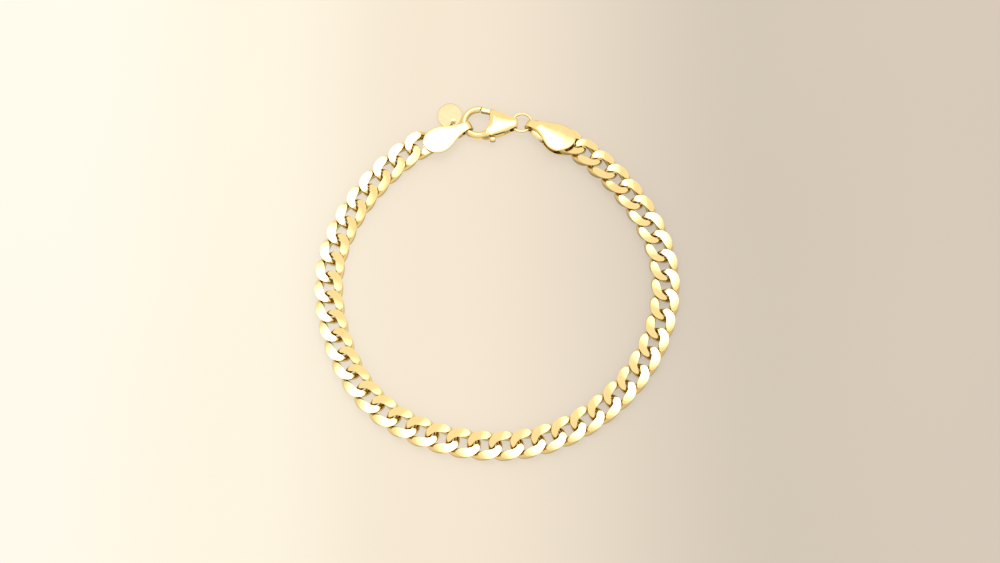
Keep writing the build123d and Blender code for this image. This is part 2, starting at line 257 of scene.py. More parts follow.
def mark_flank_shade(mesh, ridge):
    """Smooth faces with sharp ridges, and an attribute that is one on steep faces, for painted
    shade.
    """
    for polygon in mesh.polygons:
        polygon.use_smooth = True
    mesh.set_sharp_from_angle(angle=math.radians(ridge))
    # the attribute below says where the shader paints shade on steep faces
    flank_shade = mesh.attributes.get("flank_shade") or mesh.attributes.new("flank_shade", "FLOAT", "POINT")
    for item, vertex in zip(flank_shade.data, mesh.vertices):
        item.value = min(1.0, max(0.0, (FLANK_SHADE_STARTS - vertex.normal.z) / FLANK_SHADE_FADE))


def mesh_of(name, *shells, ridge=30):
    """One mesh from several closed skins, its faces outward and its ridges sharp."""
    points, faces = [], []
    for shell_points, shell_faces in shells:
        start = len(points)
        points.extend(tuple(p) for p in shell_points)
        faces.extend(tuple(start + v for v in face) for face in shell_faces)
    mesh = bpy.data.meshes.new(name)
    mesh.from_pydata(points, [], faces)
    shape = bmesh.new()
    shape.from_mesh(mesh)
    bmesh.ops.remove_doubles(shape, verts=shape.verts, dist=SAME_POINT)
    bmesh.ops.recalc_face_normals(shape, faces=shape.faces)
    shape.to_mesh(mesh)
    shape.free()
    mark_flank_shade(mesh, ridge)
    return mesh


# %% [markdown]
# ## Placing a piece
#
# A piece is drawn in millimetres about an origin of its own, such as the middle of the
# clasp's hook, and its points are then moved to their place. The mesh takes the place
# and the object stays at the origin, so that the noises of the material lie still on
# the metal. Each piece says which body it moves with and which measured pieces it stands
# for.

# %% Placing helpers
UP = np.array([0.0, 0.0, 1.0])


def axes_at(heading, roll=0.0, side=1.0):
    """Three directions as columns: along a heading, across it, and up tipped to one side."""
    angle, tip = math.radians(heading), math.radians(roll)
    along = np.array([math.cos(angle), math.sin(angle), 0])
    up = UP * math.cos(tip) + np.cross(UP, along) * side * math.sin(tip)
    return np.stack([along, np.cross(up, along), up], axis=1)


def put(shell, origin, axes):
    """A skin in millimetres, moved from its own axes into the model's frame in metres."""
    points, faces = shell
    return (np.asarray(points) @ axes.T + np.asarray(origin)) * MM, faces


def add_piece(name, mesh, material, body, nodes):
    piece = bpy.data.objects.new(name, mesh)
    bpy.context.scene.collection.objects.link(piece)
    mesh.materials.clear()
    mesh.materials.append(material)
    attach(piece, body)
    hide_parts(*nodes)
    print(name, "has", len(mesh.polygons), "faces")
    return piece


# %% [markdown]
# ## One link
#
# The wire of a link runs round an oval. Twisting the chain lifts two opposite quarters
# of each oval and drops the other two, which is the saddle `z = -x * y`. The file then
# takes the top off the high quarters. Because the chain springs back a little when it
# is let go, the filed facets aren't level: each keeps a small share of the saddle's
# slope, and that is why one facet of a link can flash white while its neighbour stays
# deep gold. Below, the links are filed flat, so that they lie on the floor.
#
# The wire is thickest along the sides of the oval, where the facets are, and thinner at
# its ends, where two neighbours pass through.

# %% Shape of the wire
LINK_LENGTH = 6.9
LINK_WIDTH = 5.7
WIRE_AT_SIDE = 1.8
WIRE_AT_END = 1.3
THICKNESS_AT_SIDE = 2.4
THICKNESS_AT_END = 1.3
SIDE_PEAK = 6
SQUARENESS = 2.1
TWIST = 0.98
FACET_HEIGHT = 0.76
FACET_SHARE = 0.14
FACET_LIMIT = 1.0
FILED_BELOW = 0.94
HALF_LENGTH = (LINK_LENGTH - WIRE_AT_END) / 2
HALF_WIDTH = (LINK_WIDTH - WIRE_AT_SIDE) / 2


def filed_top(points):
    """Height of the filed surface over the given points."""
    saddle = -2 * TWIST * points[:, 0] * points[:, 1] / (HALF_LENGTH * HALF_WIDTH)
    return np.minimum(FACET_HEIGHT + FACET_SHARE * saddle, FACET_LIMIT)


def wire_middle(turn):
    """The wire's middle line: an oval with slightly squared ends, twisted up and down."""
    cos, sin = math.cos(turn), math.sin(turn)
    return np.array([
        HALF_LENGTH * math.copysign(abs(cos) ** (2 / SQUARENESS), cos),
        HALF_WIDTH * math.copysign(abs(sin) ** (2 / SQUARENESS), sin),
        -TWIST * math.sin(2 * turn),
    ])


print("window of a link:", round(LINK_LENGTH - 2 * WIRE_AT_END, 2), "by",
      round(LINK_WIDTH - 2 * WIRE_AT_SIDE, 2), "mm")

# %% [markdown]
# ## The skin of a link
#
# Each section of the wire is an ellipse whose points are limited to the filed surfaces.
# The places where the ellipse meets them become vertices, so that the ridges of the
# facets are crisp. Where the file misses the wire, as at the low end of a facet, the
# same vertices stay close together at the top, so that every section has as many points
# as the next.

# %% Link mesh
STATIONS = 72
FACET_STEPS = 6
SIDE_STEPS = 7
NEAR_TURN = 0.04
ELLIPSE_STEPS = 361
LEAST_FILED = 40
UNFILED_TOP = (160, 200)


def wire_section(turn):
    """The points of the wire's outline at one place round the link."""
    cos, sin = math.cos(turn), math.sin(turn)
    middle = wire_middle(turn)
    run = wire_middle(turn + NEAR_TURN) - wire_middle(turn - NEAR_TURN)
    run /= np.linalg.norm(run)
    across = np.array([run[1], -run[0], 0]) / math.hypot(run[0], run[1])
    rise = np.cross(across, run)
    rise *= np.sign(rise[2])
    width = WIRE_AT_END * cos ** 2 + WIRE_AT_SIDE * sin ** 2
    thickness = THICKNESS_AT_END + (THICKNESS_AT_SIDE - THICKNESS_AT_END) * abs(sin) ** SIDE_PEAK

    def ellipse(angle):
        angle = angle[:, None]
        out, up = across * (width / 2), rise * (thickness / 2)
        return middle + out * np.cos(angle) + up * np.sin(angle)

    def filed_span(side):
        """The angles between which the file works, above (1) or below (-1)."""
        angles = side * np.linspace(0, math.pi, ELLIPSE_STEPS)
        points = ellipse(angles)
        over = points[:, 2] - filed_top(points) if side > 0 else -FILED_BELOW - points[:, 2]
        filed = np.nonzero(over > 0)[0]
        first, last = (filed[0], filed[-1]) if len(filed) > LEAST_FILED else UNFILED_TOP
        return angles[first], angles[last]

    top_right, top_left = filed_span(1)
    low_right, low_left = filed_span(-1)
    points = ellipse(np.concatenate([
        np.linspace(low_right, top_right, SIDE_STEPS, endpoint=False),
        np.linspace(top_right, top_left, FACET_STEPS, endpoint=False),
        np.linspace(top_left, low_left + 2 * math.pi, SIDE_STEPS, endpoint=False),
        np.linspace(low_left, low_right, FACET_STEPS, endpoint=False),
    ]))
    points[:, 2] = np.clip(points[:, 2], -FILED_BELOW, filed_top(points))
    return points * MM


sections = [wire_section(2 * math.pi * i / STATIONS) for i in range(STATIONS)]
link_mesh = mesh_of("one_link", loft(sections, ring=True))
one_link = bpy.data.objects.new("one_link", link_mesh)
print("faces in one link:", len(link_mesh.polygons))

# %% [markdown]
# ## Where the links lie
#
# The measured model has every link as a node of its own. A link turned half round about
# any of its three axes looks the same, so its place is fully known from its middle and
# its three main directions, and those come from the spread of its corners: the longest
# is along the chain, the shortest is up.

# %% Link places
def place_of(node):
    points = np.array([v.co for v in node.data.vertices])
    middle = points.mean(axis=0)
    spread = np.cov((points - middle).T)
    sizes, axes = np.linalg.eigh(spread)
    up, along = axes[:, 0], axes[:, 2]
    up = up * np.sign(up[2])
    along = along * np.sign(along[0] * middle[1] - along[1] * middle[0])
    turn = Matrix((along, np.cross(up, along), up)).transposed().to_quaternion()
    return middle, turn


link_nodes = [name for name in sorted(frame["nodes"]) if name.startswith("link_")]
link_places = [place_of(frame["nodes"][name]) for name in link_nodes]
print("links placed:", len(link_places))

# %% [markdown]
# ## The chain in Geometry Nodes
#
# The chain is a row of points, each with a rotation, and one link instanced on every
# point. The tree adds a very small random tilt to each link, because the links of a
# real chain lie loose and never catch the light in quite the same way. Realize
# Instances turns the result into real geometry at the end, and Set Material covers it.

# %% Chain tree
def chain_tree():
    tree = bpy.data.node_groups.new("chain_of_links", "GeometryNodeTree")
    face = tree.interface
    face.new_socket("Geometry", in_out="INPUT", socket_type="NodeSocketGeometry")
    sockets = {
        "Link": face.new_socket("Link", in_out="INPUT", socket_type="NodeSocketObject"),
        "Loose tilt": face.new_socket("Loose tilt", in_out="INPUT", socket_type="NodeSocketFloat"),
        "Seed": face.new_socket("Seed", in_out="INPUT", socket_type="NodeSocketInt"),
        "Material": face.new_socket("Material", in_out="INPUT", socket_type="NodeSocketMaterial"),
    }
    face.new_socket("Geometry", in_out="OUTPUT", socket_type="NodeSocketGeometry")
    given = add_node(tree, "NodeGroupInput")
    out = add_node(tree, "NodeGroupOutput")
    info = add_node(tree, "GeometryNodeObjectInfo", transform_space="ORIGINAL")
    turn = add_node(tree, "GeometryNodeInputNamedAttribute", data_type="QUATERNION")
    turn.inputs["Name"].default_value = "turn"
    least = add_node(tree, "ShaderNodeVectorMath", operation="SCALE")
    least.inputs[0].default_value = (-1, -1, 0)
    most = add_node(tree, "ShaderNodeVectorMath", operation="SCALE")
    most.inputs[0].default_value = (1, 1, 0)
    chance = add_node(tree, "FunctionNodeRandomValue", data_type="FLOAT_VECTOR")
    tilt = add_node(tree, "FunctionNodeEulerToRotation")
    both = add_node(tree, "FunctionNodeRotateRotation", rotation_space="LOCAL")
    on_points = add_node(tree, "GeometryNodeInstanceOnPoints")
    real = add_node(tree, "GeometryNodeRealizeInstances")
    cover = add_node(tree, "GeometryNodeSetMaterial")
    link = tree.links.new
    link(given.outputs["Link"], info.inputs["Object"])
    link(given.outputs["Loose tilt"], least.inputs["Scale"])
    link(given.outputs["Loose tilt"], most.inputs["Scale"])
    link(least.outputs["Vector"], chance.inputs["Min"])
    link(most.outputs["Vector"], chance.inputs["Max"])
    link(given.outputs["Seed"], chance.inputs["Seed"])
    link(chance.outputs["Value"], tilt.inputs["Euler"])
    link(turn.outputs["Attribute"], both.inputs["Rotation"])
    link(tilt.outputs["Rotation"], both.inputs["Rotate By"])
    link(given.outputs["Geometry"], on_points.inputs["Points"])
    link(info.outputs["Geometry"], on_points.inputs["Instance"])
    link(both.outputs["Rotation"], on_points.inputs["Rotation"])
    link(on_points.outputs["Instances"], real.inputs["Geometry"])
    link(real.outputs["Geometry"], cover.inputs["Geometry"])
    link(given.outputs["Material"], cover.inputs["Material"])
    link(cover.outputs["Geometry"], out.inputs["Geometry"])
    return tree, {name: socket.identifier for name, socket in sockets.items()}


# %% [markdown]
# ## Hanging the links on their places
#
# The row holds one vertex for each link, with the link's rotation as an attribute. The
# modifier's inputs are set by the identifiers of their sockets. The evaluated row is
# then copied into a plain mesh, which is the chain.

# %% Chain
LOOSE_TILT = math.radians(0.4)
CHAIN_SEED = 7


def plain_piece(source, name):
    """The evaluated object as a plain mesh object of its own; the source is removed."""
    graph = bpy.context.evaluated_depsgraph_get()
    mesh = bpy.data.meshes.new_from_object(source.evaluated_get(graph))
    mesh.name = name
    bpy.data.objects.remove(source)
    piece = bpy.data.objects.new(name, mesh)
    bpy.context.scene.collection.objects.link(piece)
    return piece


points = bpy.data.meshes.new("chain_points")
points.from_pydata([tuple(middle) for middle, turn in link_places], [], [])
turns = points.attributes.new("turn", "QUATERNION", "POINT")
for item, (middle, turn) in zip(turns.data, link_places):
    item.value = turn
row = bpy.data.objects.new("chain_row", points)
bpy.context.scene.collection.objects.link(row)
tree, keys = chain_tree()
modifier = row.modifiers.new("links", "NODES")
modifier.node_group = tree
modifier[keys["Link"]] = one_link
modifier[keys["Loose tilt"]] = LOOSE_TILT
modifier[keys["Seed"]] = CHAIN_SEED
modifier[keys["Material"]] = chain_gold
chain = plain_piece(row, "chain_links")
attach(chain, "bracelet")
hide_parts(*link_nodes)
print("faces in the chain:", len(chain.data.polygons))

# %% [markdown]
# ## The clasp's body
#
# A lobster clasp is cast in one piece: a round hook that swells into a hollow body and
# narrows again to a tail. Its skin is laid between two outlines seen from above, in
# millimetres from the middle of the hook. The inner outline runs from the tail over the
# shoulder, down the wall behind the hook and round the inside of the ring; the outer one
# runs along the belly and round the outside. The hook stops a hair before the arc that
# the end of the gate swings through.

# %% Outlines of the clasp
CLASP_ORIGIN = (-4.15, 33.12, 1.565)
CLASP_AXES = axes_at(-1.5)
HOOK_INSIDE = 2.25
HOOK_OUTSIDE = 3.65
HOOK_HALF_HEIGHT = 0.8
BODY_HALF_HEIGHT = 1.3
TAIL_AT = 7.15
TAIL_RADIUS = 0.95
TAIL_HALF_WIDTH = 0.83
TAIL_END = 8.08
TAIL_SQUARENESS = 5
SHOULDER = (3.15, 2.78)
BELLY_START_TURN = -82.0
PIVOT = (3.85, 1.5)
GATE_SWING = 3.84


def belly(x):
    """Height in plan of the lower edge: one arc from the hook's outside to the tail."""
    turn = math.radians(BELLY_START_TURN)
    start = HOOK_OUTSIDE * np.array([math.cos(turn), math.sin(turn)])
    normal = -start / HOOK_OUTSIDE
    chord = np.array([TAIL_END, -TAIL_HALF_WIDTH]) - start
    radius = chord @ chord / (2 * chord @ normal)
    centre = start + normal * radius
    return centre[1] - math.sqrt(radius ** 2 - (x - centre[0]) ** 2)


def back(x):
    """Height in plan of the upper edge: straight from the tail to the shoulder."""
    share = (x - SHOULDER[0]) / (TAIL_END - SHOULDER[0])
    return SHOULDER[1] + (TAIL_HALF_WIDTH - SHOULDER[1]) * share


def ring_point(radius, turn):
    return np.array([radius * math.cos(math.radians(turn)), radius * math.sin(math.radians(turn))])


def hook_end(radius):
    """The turn at which the hook stops, a hair outside the swing of the gate."""
    reach = math.hypot(*PIVOT)
    cosine = (radius ** 2 + reach ** 2 - GATE_SWING ** 2) / (2 * radius * reach)
    return math.degrees(math.atan2(PIVOT[1], PIVOT[0]) + math.acos(cosine)) - 360


print("the hook goes round to", round(hook_end(HOOK_OUTSIDE)), "degrees")

# %% [markdown]
# ## The sections of the clasp
#
# Each section of the casting is a mixture of an ellipse, right for the hook, and a
# pillow, right for the body: a gently domed face whose edges are crisp. A fine groove
# runs along the outer side, where the two halves of the casting meet, and the lower half
# stands out a little. The face also falls away towards the wall behind the hook.

# %% Sections of the clasp
BODY_SIDES = 32
BODY_ROUNDNESS = 0.12
PILLOW_DROP = 0.17
OUTER_EDGE, INNER_EDGE = 200, 40
EDGE_ROUNDING = 0.4
GROOVE = 0.10
LOWER_STEP = 0.16
WALL_DROP = 0.3
WALL_FALL_X, WALL_FALL_WIDTH = 3.3, 1.05
WALL_FALL_Y, WALL_FALL_HEIGHT = -1.8, 1.5


def clasp_section(inner, outer, height, roundness=BODY_ROUNDNESS, step=1.0):
    """Outline of the body between two points in plan; roundness one is an ellipse."""
    inner, outer = np.array(inner), np.array(outer)
    middle, reach = (inner + outer) / 2, (outer - inner) / 2
    angles = 2 * math.pi * np.arange(BODY_SIDES) / BODY_SIDES
    u = np.cos(angles)
    ellipse = np.sqrt(np.clip(1 - u ** 2, 0, 1))
    edge = np.where(u > 0, OUTER_EDGE, INNER_EDGE)
    pillow = (1 - PILLOW_DROP * u ** 2) * np.clip(1 - np.abs(u) ** edge, 0, 1) ** EDGE_ROUNDING
    above = np.sign(np.round(np.sin(angles), 6))
    z = above * height * (roundness * ellipse + (1 - roundness) * pillow)
    size = np.linalg.norm(reach)
    out = u * size
    lower = (z < 0) & (u > 0)
    out = out + np.where(lower, LOWER_STEP * step * u, 0)
    out[0] -= GROOVE * step
    plan = middle + (reach / size) * out[:, None]
    near_wall = np.clip((WALL_FALL_X - plan[:, 0]) / WALL_FALL_WIDTH, 0, 1) ** 2
    near_wall = near_wall * np.clip((plan[:, 1] - WALL_FALL_Y) / WALL_FALL_HEIGHT, 0, 1)
    z = z * (1 - WALL_DROP * near_wall * (1 - roundness))
    return np.column_stack([plan, z])


middle_section = clasp_section((5, back(5)), (5, belly(5)), BODY_HALF_HEIGHT)
print("height in the middle of the body:", round(2 * middle_section[:, 2].max(), 2), "mm")

# %% [markdown]
# ## The clasp's body, laid up
#
# The sections follow each other from the tail to the tip of the hook in five runs: the
# straight back, the top of the shoulder, the wall, the turn into the hook and the hook
# itself. In each run one end of the section goes along the inner outline while the other
# goes along the belly, so the sections fan out round the hook. Over the turn the pillow
# becomes an ellipse and the height falls to the thickness of the hook. The first few
# sections stand close together, where the tail's end rounds over.

# %% Clasp body
FULL_HEIGHT_UNTIL = 3.3
UNDER_SHOULDER = 3.25
UNDER_CORNER = 2.75
UNDER_WALL_END = 1.6
TAIL_ROUNDING = 0.5
CAST_RIDGE = 40

stations = []
tail_steps = TAIL_END - TAIL_ROUNDING * (1 - np.cos(np.linspace(0, math.pi / 2, 6)))
for x in np.concatenate([tail_steps, np.linspace(tail_steps[-1], SHOULDER[0], 18)[1:]]):
    if x > TAIL_AT:
        over = (x - TAIL_AT) / TAIL_RADIUS
        height = TAIL_RADIUS * (1 - over ** TAIL_SQUARENESS) ** (1 / TAIL_SQUARENESS)
    else:
        height = np.interp(x, [FULL_HEIGHT_UNTIL, TAIL_AT], [BODY_HALF_HEIGHT, TAIL_RADIUS])
    stations.append(clasp_section((x, back(x)), (x, belly(x)), height))
for share in np.linspace(0, 1, 5)[1:]:
    x = SHOULDER[0] - share * (SHOULDER[0] - HOOK_INSIDE)
    under = UNDER_SHOULDER + (UNDER_CORNER - UNDER_SHOULDER) * share
    stations.append(clasp_section((x, SHOULDER[1]), (under, belly(under)), BODY_HALF_HEIGHT))
for share in np.linspace(0, 1, 9)[1:]:
    y = SHOULDER[1] * (1 - share)
    under = UNDER_CORNER + (UNDER_WALL_END - UNDER_CORNER) * share
    stations.append(clasp_section((HOOK_INSIDE, y), (under, belly(under)), BODY_HALF_HEIGHT))
belly_start = ring_point(HOOK_OUTSIDE, BELLY_START_TURN)
for share in np.linspace(0, 1, 11)[1:]:
    under = UNDER_WALL_END + (belly_start[0] - UNDER_WALL_END) * share
    fall = share * share * (3 - 2 * share)
    height = BODY_HALF_HEIGHT + (HOOK_HALF_HEIGHT - BODY_HALF_HEIGHT) * fall
    roundness = 1 - (1 - BODY_ROUNDNESS) * (1 - share) ** 2
    inner = ring_point(HOOK_INSIDE, BELLY_START_TURN * share)
    stations.append(clasp_section(inner, (under, belly(under)), height, roundness))
for share in np.linspace(0, 1, 56)[1:]:
    inner = BELLY_START_TURN + (hook_end(HOOK_INSIDE) - BELLY_START_TURN) * share
    outer = BELLY_START_TURN + (hook_end(HOOK_OUTSIDE) - BELLY_START_TURN) * share
    stations.append(clasp_section(
        ring_point(HOOK_INSIDE, inner), ring_point(HOOK_OUTSIDE, outer),
        HOOK_HALF_HEIGHT, 1.0, step=max(0.0, 1 - 2.5 * share)))
casting = put(loft(stations), CLASP_ORIGIN, CLASP_AXES)
body_mesh = mesh_of("clasp_body_gold", casting, ridge=CAST_RIDGE)
print("faces in the casting:", len(body_mesh.polygons))

# %% [markdown]
# ## Cutting the clasp's body
#
# The hollow for the lever, the hole for the jump ring and the bore for the rivet are
# cut out of the casting. The lever's arm leaves the body in its upper half, so the
# hollow there stops short of the lower lip, which stays whole. The rivet's bore comes
# from below and stays inside the body. The tools that cut are prisms and round rods.

# %% Cutting tools
HOLLOW_HALF_HEIGHT = 0.7
ARM_SLOT = (0.0, 0.52)
TAIL_HOLE_RADIUS = 0.66
BORE_RADIUS = 0.39
BORE_SPAN = (-4.05, 0.75)
ROD_ROUNDING = 0.15


def prism(outline, low, high):
    """A flat-ended body over an outline in plan."""
    outline = np.array(outline)
    return loft([np.column_stack([outline, np.full(len(outline), z)]) for z in (low, high)])


def rod(middle, direction, radius, half_length, flank_shade_mask=40):
    """A round rod; its ends are slightly rounded."""
    middle, direction = np.array(middle, dtype=float), np.array(direction, dtype=float)
    side = np.cross(direction, UP if abs(direction[2]) < 0.9 else np.array([1.0, 0, 0]))
    side /= np.linalg.norm(side)
    other = np.cross(direction, side)
    angles = 2 * math.pi * np.arange(flank_shade_mask) / flank_shade_mask
    circle = np.outer(np.cos(angles), side) + np.outer(np.sin(angles), other)
    rounding = ROD_ROUNDING * radius
    steps = [(-half_length, radius - rounding), (rounding - half_length, radius),
             (half_length - rounding, radius), (half_length, radius - rounding)]
    return loft([middle + direction * along + circle * size for along, size in steps])


gate_side = [(0.85, 4.05), (3.25, 4.05), (4.85, 1.9), (4.85, 0.6), (0.85, 0.6)]
arm_side = [(2.27, 0.65), (4.84, 0.65), (5.93, -4.2), (2.27, -4.2)]
bore_middle = (*PIVOT, sum(BORE_SPAN) / 2)
cutters = [
    prism(gate_side, -HOLLOW_HALF_HEIGHT, HOLLOW_HALF_HEIGHT),
    prism(arm_side, *ARM_SLOT),
    rod((TAIL_AT, 0, 0), (0, 1, 0), TAIL_HOLE_RADIUS, 4),
    rod(bore_middle, (0, 0, 1), BORE_RADIUS, (BORE_SPAN[1] - BORE_SPAN[0]) / 2),
]
print("tools that cut the casting:", len(cutters))

# %% [markdown]
# ## The finished clasp body
#
# Boolean modifiers take the tools out of the casting, and the evaluated object gives one
# plain mesh. The upper half's steep sides keep the painted shade of the flanks. The lower
# half's sides face the bright floor, so they keep only a little of that painted shade.

# %% Cut the body
LOWER_HALF_FLANK_SHADE = 0.1
LOWER_HALF_TOP = -0.03

uncut = bpy.data.objects.new("clasp_uncut", body_mesh)
bpy.context.scene.collection.objects.link(uncut)
tools = []
for number, cutter in enumerate(cutters):
    tool_mesh = mesh_of(f"cutter_{number}", put(cutter, CLASP_ORIGIN, CLASP_AXES))
    tool = bpy.data.objects.new(f"cutter_{number}", tool_mesh)
    bpy.context.scene.collection.objects.link(tool)
    cut = uncut.modifiers.new("cut", "BOOLEAN")
    cut.operation, cut.solver, cut.object = "DIFFERENCE", "EXACT", tool
    tools.append(tool)
graph = bpy.context.evaluated_depsgraph_get()
cut_mesh = bpy.data.meshes.new_from_object(uncut.evaluated_get(graph))
cut_mesh.name = "clasp_body_gold"
for thing in [uncut] + tools:
    bpy.data.objects.remove(thing)
mark_flank_shade(cut_mesh, CAST_RIDGE)
# painted shade: the lower half's steep sides keep only a small share of it
for item, vertex in zip(cut_mesh.attributes["flank_shade"].data, cut_mesh.vertices):
    if vertex.co.z < (CLASP_ORIGIN[2] + LOWER_HALF_TOP) * MM:
        item.value *= LOWER_HALF_FLANK_SHADE
add_piece("clasp_body_gold", cut_mesh, clasp_gold, "bracelet", ["clasp_body"])

# %% [markdown]
# ## Lever
#
# The lever is one small casting too. Its broad end is the gate that closes the hook,
# the rivet goes through the boss in the middle, and a thin arm leads to the nub that a
# thumbnail pulls. The stations give the place in plan, the half width and the lowest
# and highest point of the section. A smooth curve through every column of the table
# gives the sections between them, and each section is a rounded rectangle.

# %% Lever
LEVER_SIDES = 24
LEVER_SQUARENESS = 0.4
LEVER_STATIONS = [
    (0.44, 2.865, 0.36, -0.45, 0.45),
    (0.56, 2.845, 0.52, -0.60, 0.60),
    (1.20, 2.72, 0.54, -0.60, 0.60),
    (2.00, 2.57, 0.54, -0.60, 0.60),
    (2.80, 2.30, 0.52, -0.60, 0.60),
    (3.45, 1.95, 0.60, -0.60, 0.60),
    (3.85, 1.50, 0.70, -0.60, 0.60),
    (3.93, 1.00, 0.56, -0.40, 0.58),
    (3.90, 0.66, 0.46, 0.06, 0.47),
    (3.72, 0.00, 0.42, 0.07, 0.46),
    (3.42, -1.30, 0.40, 0.07, 0.46),
    (3.12, -2.50, 0.42, 0.07, 0.46),
    (3.02, -3.22, 0.46, 0.06, 0.47),
    (3.04, -3.50, 0.58, -0.40, 0.62),
    (3.05, -3.88, 0.60, -0.50, 0.66),
    (3.05, -4.18, 0.48, -0.42, 0.55),
    (3.05, -4.34, 0.22, -0.20, 0.30),
]


def smooth_rows(rows, steps):
    """Rows of numbers with smooth in-between rows, by a curve through each of them."""
    rows = np.array(rows, dtype=float)
    padded = np.concatenate([rows[:1] * 2 - rows[1:2], rows, rows[-1:] * 2 - rows[-2:-1]])
    fine = []
    for i in range(len(rows) - 1):
        before, here, there, after = padded[i:i + 4]
        for t in np.linspace(0, 1, steps, endpoint=False):
            fine.append(0.5 * (
                2 * here + (there - before) * t
                + (2 * before - 5 * here + 4 * there - after) * t ** 2
                + (3 * here - before - 3 * there + after) * t ** 3))
    fine.append(rows[-1])
    return np.array(fine)


rows = smooth_rows(LEVER_STATIONS, 3)
runs = np.gradient(rows[:, :2], axis=0)
angles = 2 * math.pi * np.arange(LEVER_SIDES) / LEVER_SIDES
side_share = np.sign(np.cos(angles)) * np.abs(np.cos(angles)) ** LEVER_SQUARENESS
rise_share = np.sign(np.sin(angles)) * np.abs(np.sin(angles)) ** LEVER_SQUARENESS
lever_sections = []
for (x, y, half, low, high), run in zip(rows, runs):
    across = np.array([run[1], -run[0]]) / np.linalg.norm(run)
    out = side_share * half
    rise = (high + low) / 2 + rise_share * (high - low) / 2
    lever_sections.append(np.column_stack([np.array([x, y]) + out[:, None] * across, rise]))
lever = put(loft(lever_sections), CLASP_ORIGIN, CLASP_AXES)
lever_mesh = mesh_of("clasp_lever_gold", lever, ridge=50)
add_piece("clasp_lever_gold", lever_mesh, clasp_gold, "lever", ["clasp_lever"])

# %% [markdown]
# ## Rivet
#
# The lever turns on a plain round pin that is pressed into the body from below.

# %% Rivet
RIVET_RADIUS = 0.35
RIVET_HALF_LENGTH = 0.93
RIVET_MIDDLE = -0.2

rivet = rod((*PIVOT, RIVET_MIDDLE), (0, 0, 1), RIVET_RADIUS, RIVET_HALF_LENGTH)
rivet_mesh = mesh_of("clasp_rivet_gold", put(rivet, CLASP_ORIGIN, CLASP_AXES))
add_piece("clasp_rivet_gold", rivet_mesh, clasp_gold, "bracelet", ["clasp_rivet"])

# %% [markdown]
# ## Jump ring
#
# A jump ring is a turn of round wire whose ends are pressed together. The seam stays
# visible as a hair line, so the wire is a little thinner over a very short piece.

# %% Jump ring
RING_CENTRE = (4.8155, 33.0122, 1.7108)
RING_NORMAL = (-0.0727, -0.0032, 0.9974)
RING_RADIUS = 2.0
RING_WIRE = 0.5
RING_SEAM_TURN = 70
RING_STEPS = 84
SEAM_TURNS = [359.7, 360.0, 360.3]
SEAM_SIZES = [0.93, 0.86, 0.93]
WIRE_SIDES = 18


def wire_ring(centre, normal, radius, wire, seam_turn):
    """A ring of round wire with its seam at one turn, which is in degrees."""
    normal = np.array(normal, dtype=float)
    normal /= np.linalg.norm(normal)
    along = np.cross(np.array([0.0, 1.0, 0.0]), normal)
    along /= np.linalg.norm(along)
    across = np.cross(normal, along)
    turns = seam_turn + np.concatenate([np.linspace(0.6, 359.4, RING_STEPS), SEAM_TURNS])
    sizes = np.concatenate([np.ones(RING_STEPS), SEAM_SIZES])
    angles = 2 * math.pi * np.arange(WIRE_SIDES) / WIRE_SIDES
    sections = []
    for turn, size in zip(np.radians(turns), sizes):
        out = along * math.cos(turn) + across * math.sin(turn)
        sections.append(np.array(centre) + out * radius + size * wire / 2 * (
            np.outer(np.cos(angles), out) + np.outer(np.sin(angles), normal)))
    return loft(sections, ring=True)


ring = wire_ring(RING_CENTRE, RING_NORMAL, RING_RADIUS, RING_WIRE, RING_SEAM_TURN)
ring_mesh = mesh_of("jump_ring_gold", put(ring, (0, 0, 0), np.eye(3)))
add_piece("jump_ring_gold", ring_mesh, clasp_gold, "bracelet", ["jump_ring"])

# %% [markdown]
# ## End caps
#
# Each end cap is one strip of sheet, cut wide and round at both ends, folded in its
# narrow middle round the ring or the hook, and closed over the last link, which a peg
# holds. Seen from above its outline is the same from the fold to the tip of the lobe, so
# one function gives half its width at any distance from the fold, by a smooth curve
# through a few widths and a round end.

# %% Outline of a cap
CAP_LENGTH = 10.95
PLATE = 0.3
FOLD_RADIUS = 1.3
PLATE_HEIGHT = 1.37
HALF_WIDTHS = [
    (0.0, 0.9), (1.0, 0.9), (1.5, 0.93), (3.5, 1.38), (4.7, 1.92), (6.0, 2.52), (7.7, 2.85),
]
WIDEST_AT = 7.7


def half_width(x):
    """Half the strip's width at a distance from the fold."""
    widest = HALF_WIDTHS[-1][1]
    if x >= WIDEST_AT:
        return widest * math.sqrt(max(0.0, 1 - ((x - WIDEST_AT) / (CAP_LENGTH - WIDEST_AT)) ** 2))
    xs, ws = zip(*HALF_WIDTHS)
    slopes = np.gradient(ws, xs)
    slopes[0] = slopes[-1] = 0.0
    i = max(0, min(len(xs) - 2, int(np.searchsorted(xs, x)) - 1))
    gap = xs[i + 1] - xs[i]
    t = (x - xs[i]) / gap
    return ((2 * t ** 3 - 3 * t ** 2 + 1) * ws[i] + (t ** 3 - 2 * t ** 2 + t) * gap * slopes[i]
            + (3 * t ** 2 - 2 * t ** 3) * ws[i + 1] + (t ** 3 - t ** 2) * gap * slopes[i + 1])


print("half widths of a cap:", [round(half_width(x), 2) for x in range(2, 11, 2)], "mm")

# %% [markdown]
# ## The folded strip
#
# The strip's middle line is followed from the tip of the upper lobe through the fold to
# the tip of the lower one, and at each place a thin section is laid across it. The upper
# lobe is pressed to a low pillow, its crown, and may lean a little to one side, which
# decides how much of it mirrors the bright light. Near the fold the two plates come
# closer together, so that the fold fits round the ring or the hook. The front of a cap
# is its side towards the middle of the bracelet.

